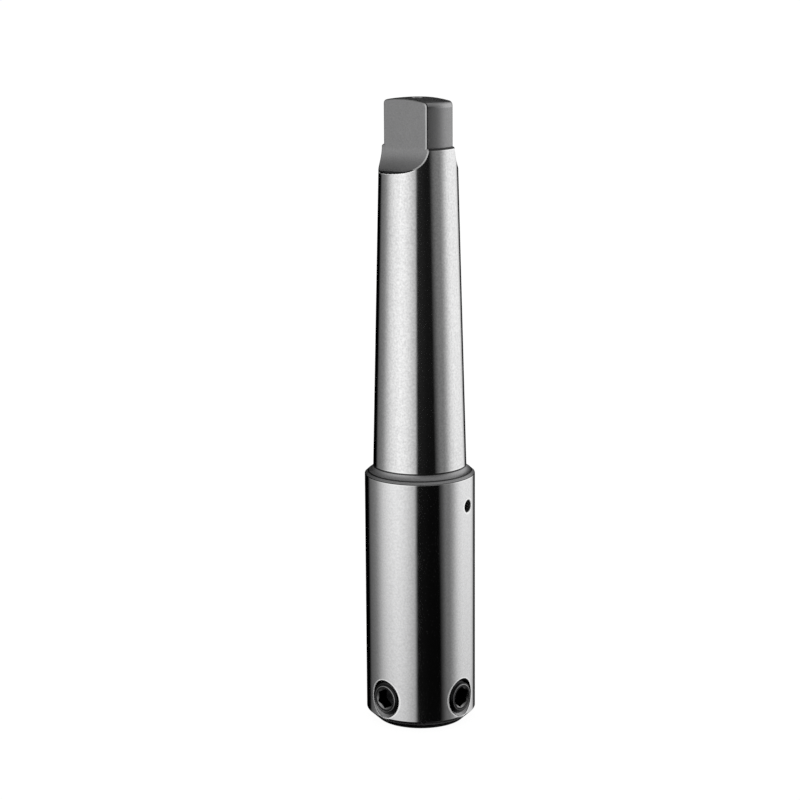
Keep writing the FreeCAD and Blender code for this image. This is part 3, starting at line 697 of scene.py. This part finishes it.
def add_inside(skin, holes):
    """The bore, its floor, the ring's groove and the spring chamber."""
    outer = np.radians(np.arange(0, 360, 1.0))
    turns = np.radians(np.arange(0, 360, 2.0))
    rim = np.array([(BORE_RADIUS + BORE_CHAMFER, 0, -0.7071, -0.7071)])
    foot = np.array([(BORE_RADIUS, BORE_CHAMFER, -0.7071, -0.7071)])
    (wide, wide_normals), (narrow, narrow_normals) = around(rim, outer), around(foot, turns)
    skin.zip(wide[0], wide_normals[0], narrow[0], narrow_normals[0], BORED_SLOT)
    heights = np.concatenate([[BORE_CHAMFER], np.linspace(4.0, 16.6, 55), [25.0, BORE_DEPTH]])
    boxes = [(-65, -25, 1, 55), (-20, 20, 1, 55)]
    wall(skin, BORE_RADIUS, turns, heights, BORED_SLOT, -1, boxes)
    for hole, box in zip(holes[:2], boxes):
        # The screw holes' threaded walls are painted shade
        hole.through(skin, BORE_RADIUS, turns, heights, box, SHADE_RECESS_SLOT, 64, thread=0.55)
    shifted = turns + math.radians(1.5)
    floor = np.array([(BORE_RADIUS, BORE_DEPTH, 0, -1), (CHAMBER_RADIUS, BORE_DEPTH, 0, -1)])
    (wide, wide_normals), (narrow, narrow_normals) = around(floor[:1], turns), around(floor[1:], shifted)
    skin.zip(wide[0], wide_normals[0], narrow[0], narrow_normals[0], BORED_SLOT)
    depth, half = RING_GROOVE
    low, high = RING_HEIGHT - half, RING_HEIGHT + half
    turned(skin, [(CHAMBER_RADIUS, BORE_DEPTH), (CHAMBER_RADIUS, low), (CHAMBER_RADIUS + depth, low),
                  (CHAMBER_RADIUS + depth, high), (CHAMBER_RADIUS, high)], shifted, BORED_SLOT, side=-1)
    heights = np.concatenate([[high, 60.0], np.linspace(*CROSS_CHAMBER_ZONE, 18), [CHAMBER_END]])
    box = (-7, 17, 2, 19)
    wall(skin, CHAMBER_RADIUS, shifted, heights, BORED_SLOT, -1, [box])
    holes[2].through(skin, CHAMBER_RADIUS, shifted, heights, box, BORED_SLOT, 14)
    turned(skin, [(CHAMBER_RADIUS, CHAMBER_END), (0, CHAMBER_END)], shifted, BORED_SLOT, side=-1)


def make_body(holes):
    skin = Skin()
    ring, ring_normals, top, top_normals = add_tang(skin)
    add_tang_centre(skin, top, top_normals)
    add_outside(skin, holes, ring, ring_normals)
    add_inside(skin, holes)
    materials = [GROUND, MATTE, BORED, SHADE_RECESS, EDGE_HIGHLIGHT, TANG, HIGHLIGHT_RIM, SHADE_LINE, TAPER, SCALE_AND_SHADE, TURNED]
    body = skin.build("arbor_shell", materials)
    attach(body, "arbor")
    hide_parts("arbor_body")


# Set screws

def thread_reach(spokes, out):
    """The screw's outside before its ends are bevelled, with flat crests and roots."""
    phase = np.mod(out / PITCH - spokes / (2 * math.pi), 1)
    ridge = np.clip(2.6 * (1 - np.abs(phase * 2 - 1)) - 0.55, 0, 1)
    return SCREW_ROOT + (SCREW_CREST - SCREW_ROOT) * ridge


def make_screw(node, body, hole, corner_turn):
    """A set screw in its hole. corner_turn is the direction of one corner of its hexagon, in degrees."""
    skin = Skin()
    spokes = np.radians(corner_turn + np.arange(0, 360, 3.0))

    def ring_grid(r, out, slot, facing):
        r, out = np.broadcast_arrays(np.asarray(r, float), np.asarray(out, float))
        a = np.broadcast_to(spokes, r.shape)
        points = hole.place(r * np.cos(a), r * np.sin(a), out)
        normals = slopes(points)
        way = hole.aim(facing[0] * np.cos(a), facing[0] * np.sin(a), facing[1] * np.ones(r.shape))
        skin.grid(points, np.where((normals * way).sum(axis=-1, keepdims=True) < 0, -normals, normals),
                  slot, closed=True)

    def column(values):
        return np.array(values)[:, None] * np.ones(len(spokes))

    half = HEX_WIDTH / 2
    mouth = half / math.cos(math.radians(30)) + SOCKET_LIP
    flat = SCREW_FACE - SCREW_EDGE
    face = column([mouth, flat]), column([SCREW_OUT, SCREW_OUT])
    ring_grid(*face, 0, (0, 1))
    t = np.linspace(0, 1, 5)[:, None]
    slope = 1.2 / 1.6
    edge_r = (1 - t) ** 2 * flat + 2 * t * (1 - t) * SCREW_FACE + t * t * (SCREW_FACE + SCREW_EDGE)
    edge_out = SCREW_OUT - t * t * SCREW_EDGE * slope
    # The face's rounded edge: worn oxide, lightened also as a painted highlight
    ring_grid(column(edge_r[:, 0]), column(edge_out[:, 0]), 1, (0.6, 1))
    top = SCREW_OUT - SCREW_EDGE * slope
    out = column(np.linspace(top, SCREW_OUT - SCREW_LENGTH, 110))
    reach = thread_reach(spokes, out)
    reach = np.minimum(reach, SCREW_FACE + (SCREW_OUT - out) / slope)
    reach = np.minimum(reach, SCREW_POINT + (out - SCREW_OUT + SCREW_LENGTH) * POINT_SLOPE)
    reach[0] = SCREW_FACE + SCREW_EDGE
    ring_grid(reach, out, 0, (1, 0.2))
    end = SCREW_OUT - SCREW_LENGTH
    ring_grid(np.stack([reach[-1], reach[-1] * 0]), column([end, end]), 0, (0, -1))
    lean = np.radians(np.mod(np.degrees(spokes) - corner_turn, 60) - 30)
    hexagon = half / np.cos(lean)
    sink = SCREW_OUT - (mouth - hexagon) * SOCKET_SLOPE
    t = np.linspace(0, 1, 4)[:, None]
    # The socket's countersink: worn oxide, lightened also as a painted highlight
    ring_grid(mouth * (1 - t) + hexagon * t, SCREW_OUT * (1 - t) + sink * t, 1, (-0.6, 1))
    bottom = SCREW_OUT - SOCKET_DEPTH
    # The socket's hexagon walls and its drilled end are painted shade
    for k in range(6):
        picks = [(20 * k + j) % 120 for j in range(21)]
        a, r = spokes[picks], hexagon[picks]
        r[-1] = r[0]
        out = np.stack([sink[picks], (sink[picks] + bottom) / 2, np.full(21, bottom)])
        points = hole.place(r * np.cos(a) + 0 * out, r * np.sin(a) + 0 * out, out)
        middle = math.radians(corner_turn + 60 * k + 30)
        inward = hole.aim(-math.cos(middle), -math.sin(middle), 0.0)
        skin.grid(points, np.broadcast_to(inward, points.shape), 2)
    ring_grid(np.stack([hexagon, hexagon * 0]), column([bottom, bottom - SOCKET_DRILL]), 2, (0, 1))
    piece = skin.build(node + "_threaded", [OXIDE, WORN_OXIDE_AND_HIGHLIGHT, SHADE_RECESS])
    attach(piece, body)
    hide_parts(node)


# Spring

def make_spring():
    """The compression spring, with ground ends."""
    skin = Skin()
    turns = np.linspace(0, 2 * math.pi * SPRING_TURNS, SPRING_TURNS * 40 + 1)[:, None]
    section_turns = np.radians(np.arange(0, 360, 30.0))[:, None]
    outward = np.stack([np.cos(turns), np.sin(turns), 0 * turns], axis=2)
    normals = outward * np.cos(section_turns) + np.array([0, 0, 1.0]) * np.sin(section_turns)
    points = outward * SPRING_RADIUS + normals * WIRE_RADIUS
    rise = (SPRING_HIGH - SPRING_LOW) * turns / turns[-1]
    points[..., 2] = np.clip(points[..., 2] + SPRING_LOW + rise, SPRING_LOW, SPRING_HIGH)
    skin.grid(points, normals, 0, closed=True)
    for end, facing in ((0, -1.0), (-1, 1.0)):
        cap = np.stack([points[end], np.broadcast_to(points[end].mean(axis=0), points[end].shape)])
        skin.grid(cap, np.broadcast_to(np.array([0, facing, 0]), cap.shape), 0, closed=True)
    spring = skin.build("ejector_spring_coil", [SPRING])
    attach(spring, "arbor")
    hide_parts("ejector_spring")
    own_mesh(spring)


holes = [
    Hole(math.radians(-90), SCREW_HEIGHT, SCREW_HOLE_RADIUS, SCREW_HOLE_CONE),
    Hole(0.0, SCREW_HEIGHT, SCREW_HOLE_RADIUS, SCREW_HOLE_CONE),
    Hole(math.radians(CROSS_HOLE_TURN), CROSS_HOLE_HEIGHT, CROSS_HOLE_RADIUS, CROSS_HOLE_CONE),
]
make_body(holes)
make_screw("set_screw_a", "screw_a", holes[0], 26.0)
make_screw("set_screw_b", "screw_b", holes[1], 20.5)
make_spring()

for node, material in (("retaining_ring", SPRING), ("ejector_plunger", TURNED)):
    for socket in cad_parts[node].material_slots:
        socket.material = material


# Floor, light and camera

CAMERA_TURN = math.radians(41.5)
FLOOR_HALF = 6.0
FLOOR_GREY = 0.9
# The floor's share of plain white, and the little light that it gives on top, in shade too
FLOOR_WHITE = 0.93
FLOOR_LIFT = 0.03


def make_floor():
    mesh = bpy.data.meshes.new("floor")
    corners = [(x * FLOOR_HALF, y * FLOOR_HALF, 0) for x, y in ((-1, -1), (1, -1), (1, 1), (-1, 1))]
    mesh.from_pydata(corners, [], [(0, 1, 2, 3)])
    floor = bpy.data.objects.new("floor", mesh)
    bpy.context.scene.collection.objects.link(floor)
    floor.location.z = -0.0001
    material, tree, shader = node_material("pale_floor")
    shader.inputs["Base Color"].default_value = (FLOOR_GREY, FLOOR_GREY, FLOOR_GREY, 1)
    shader.inputs["Roughness"].default_value = 1.0
    shader.inputs["Specular IOR Level"].default_value = 0.0
    glow = tree.nodes.new("ShaderNodeEmission")
    glow.inputs["Strength"].default_value = 1.0
    mix = tree.nodes.new("ShaderNodeMixShader")
    mix.inputs["Fac"].default_value = FLOOR_WHITE
    link(tree, shader, "BSDF", mix, 1)
    link(tree, glow, "Emission", mix, 2)
    add = tree.nodes.new("ShaderNodeAddShader")
    lift = tree.nodes.new("ShaderNodeEmission")
    lift.inputs["Strength"].default_value = FLOOR_LIFT
    link(tree, mix, "Shader", add, 0)
    link(tree, lift, "Emission", add, 1)
    link(tree, add, "Shader", tree.nodes["Material Output"], "Surface")
    mesh.materials.append(material)
    floor.visible_glossy = False


# Levels of the light round the object, by the angle to the right of the camera as the object sees it
LIGHT_PANELS = [
    (-180, 0.0), (-137, 0.0), (-134, 0.05), (-130, 0.11), (-126, 0.14), (-112, 0.21), (-104, 0.28),
    (-96, 0.43), (-88, 0.61), (-80, 0.75), (-72, 0.86), (-52, 0.99), (-40, 0.94), (-32, 0.86),
    (-24, 0.75), (-16, 0.6), (-8, 0.48), (20, 0.2), (48, 0.165), (64, 0.22), (72, 0.37), (80, 0.6),
    (88, 0.8), (100, 0.92), (130, 0.92), (138, 0.84), (144, 0.6), (148, 0.24), (152, 0.05), (156, 0.0),
]
# How the light falls off towards the ground, by the sine of the height
LIGHT_FALLOFF = [
    (-1.0, 0.12), (-0.7, 0.14), (-0.42, 0.5), (-0.34, 0.69), (-0.25, 0.91), (-0.15, 0.99), (1.0, 1.0),
]
CEILING = 0.32
# The black card: how far each side leans outwards towards the ground, and where its soft edge starts and
# ends, in degrees to the right of the camera
FLAG_LEANS = (11.5, 42.0)
FLAG_LEFT = (2.0, 8.5)
FLAG_RIGHT = (28.5, 43.5)
# The card's own faint light, from one height to another
FLAG_HEIGHTS = (-0.26, -0.13)
FLAG_LEVELS = (0.015, 0.045)


def maths(tree, operation, source, output, value=None, other=None):
    """A maths node on one output and either a number or another node's output."""
    node = tree.nodes.new("ShaderNodeMath")
    node.operation = operation
    link(tree, source, output, node, 0)
    if other is None:
        node.inputs[1].default_value = value
    else:
        link(tree, other[0], other[1], node, 1)
    return node


def stops_node(tree, source, output, low, high, levels):
    """Grey levels over a range as a colour ramp."""
    share = ramp_node(tree, source, output, low, high, 0.0, 1.0)
    ramp = tree.nodes.new("ShaderNodeValToRGB")
    link(tree, share, "Result", ramp, "Fac")
    stops = ramp.color_ramp.elements
    while len(stops) > 1:
        stops.remove(stops[-1])
    for k, (place, level) in enumerate(levels):
        share = (place - low) / (high - low)
        stop = stops[0] if k == 0 else stops.new(share)
        stop.position = share
        stop.color = (level, level, level, 1)
    return ramp


def multiply(tree, a, b):
    node = tree.nodes.new("ShaderNodeMix")
    node.data_type = "RGBA"
    node.blend_type = "MULTIPLY"
    node.inputs["Factor"].default_value = 1.0
    link(tree, *a, node, "A")
    link(tree, *b, node, "B")
    return node


def make_flag(tree, angle, split):
    """The black card in front: a dark stripe that widens towards the ground."""
    lean_left = maths(tree, "MULTIPLY", split, "Z", FLAG_LEANS[0])
    lean_right = maths(tree, "MULTIPLY", split, "Z", FLAG_LEANS[1])
    left = maths(tree, "SUBTRACT", lean_left, "Value", other=(angle, "Value"))
    right = maths(tree, "ADD", lean_right, "Value", other=(angle, "Value"))
    left_edge = ramp_node(tree, left, "Value", *FLAG_LEFT, 0.0, 1.0)
    right_edge = ramp_node(tree, right, "Value", *FLAG_RIGHT, 0.0, 1.0)
    haze = ramp_node(tree, split, "Z", *FLAG_HEIGHTS, *FLAG_LEVELS)
    both = maths(tree, "ADD", left_edge, "Result", other=(right_edge, "Result"))
    return maths(tree, "MAXIMUM", both, "Value", other=(haze, "Result"))


def make_world():
    """White for the camera and for soft light. What steel mirrors is pale panels and a black card."""
    world = bpy.data.worlds.new("studio")
    bpy.context.scene.world = world
    world.use_nodes = True
    world.cycles.sampling_method = "NONE"
    tree = world.node_tree
    tree.nodes.clear()
    coords = tree.nodes.new("ShaderNodeTexCoord")
    split = tree.nodes.new("ShaderNodeSeparateXYZ")
    link(tree, coords, "Generated", split, "Vector")
    turn = maths(tree, "ARCTAN2", split, "Y", other=(split, "X"))
    offset = maths(tree, "SUBTRACT", turn, "Value", CAMERA_TURN - math.pi / 2)
    degrees = maths(tree, "MULTIPLY", offset, "Value", math.degrees(1))
    angle = maths(tree, "WRAP", degrees, "Value", -180.0)
    angle.inputs[2].default_value = 180.0
    panels = stops_node(tree, angle, "Value", -180.0, 180.0, LIGHT_PANELS)
    falloff = stops_node(tree, split, "Z", -1.0, 1.0, LIGHT_FALLOFF)
    lit = multiply(tree, (panels, "Color"), (falloff, "Color"))
    sides = multiply(tree, (lit, "Result"), (make_flag(tree, angle, split), "Value"))
    ceiling = tree.nodes.new("ShaderNodeMix")
    ceiling.data_type = "RGBA"
    ceiling.inputs["B"].default_value = (CEILING, CEILING, CEILING, 1)
    rise = ramp_node(tree, split, "Z", 0.45, 0.85, 0.0, 1.0)
    link(tree, rise, "Result", ceiling, "Factor")
    link(tree, sides, "Result", ceiling, "A")
    path = tree.nodes.new("ShaderNodeLightPath")
    pick = tree.nodes.new("ShaderNodeMix")
    pick.data_type = "RGBA"
    pick.inputs["A"].default_value = (1, 1, 1, 1)
    link(tree, path, "Is Glossy Ray", pick, "Factor")
    link(tree, ceiling, "Result", pick, "B")
    background = tree.nodes.new("ShaderNodeBackground")
    link(tree, pick, "Result", background, "Color")
    output = tree.nodes.new("ShaderNodeOutputWorld")
    link(tree, background, "Background", output, "Surface")


# The sensor's width in millimetres, the picture's in pixels and the focal length in the same pixels
SENSOR = 36.0
PICTURE = 800
FOCAL_PIXELS = 2367.676


def make_camera():
    """The camera is placed in front of the arbor's axis and then turned round it."""
    yaw, distance, height = -0.0082, 0.779947, 0.2838435
    pitch, roll = 0.2176, -0.0068
    forward = Vector((math.sin(yaw) * math.cos(pitch), math.cos(yaw) * math.cos(pitch), -math.sin(pitch)))
    right = forward.cross(Vector((0, 0, 1))).normalized()
    up = right.cross(forward)
    right, up = (right * math.cos(roll) + up * math.sin(roll), up * math.cos(roll) - right * math.sin(roll))
    pose = Matrix((right, up, -forward)).transposed().to_4x4()
    pose.translation = Vector((0, -distance, height))
    data = bpy.data.cameras.new("camera")
    data.sensor_width = SENSOR
    data.lens = FOCAL_PIXELS * SENSOR / PICTURE
    data.shift_x = -0.5 / PICTURE
    data.shift_y = 0.5 / PICTURE
    data.clip_start = 0.01
    data.clip_end = 50.0
    camera = bpy.data.objects.new("camera", data)
    bpy.context.scene.collection.objects.link(camera)
    camera.matrix_world = Matrix.Rotation(CAMERA_TURN, 4, "Z") @ pose
    bpy.context.scene.camera = camera


make_floor()
make_world()
make_camera()
bpy.context.scene.view_settings.view_transform = "Standard"
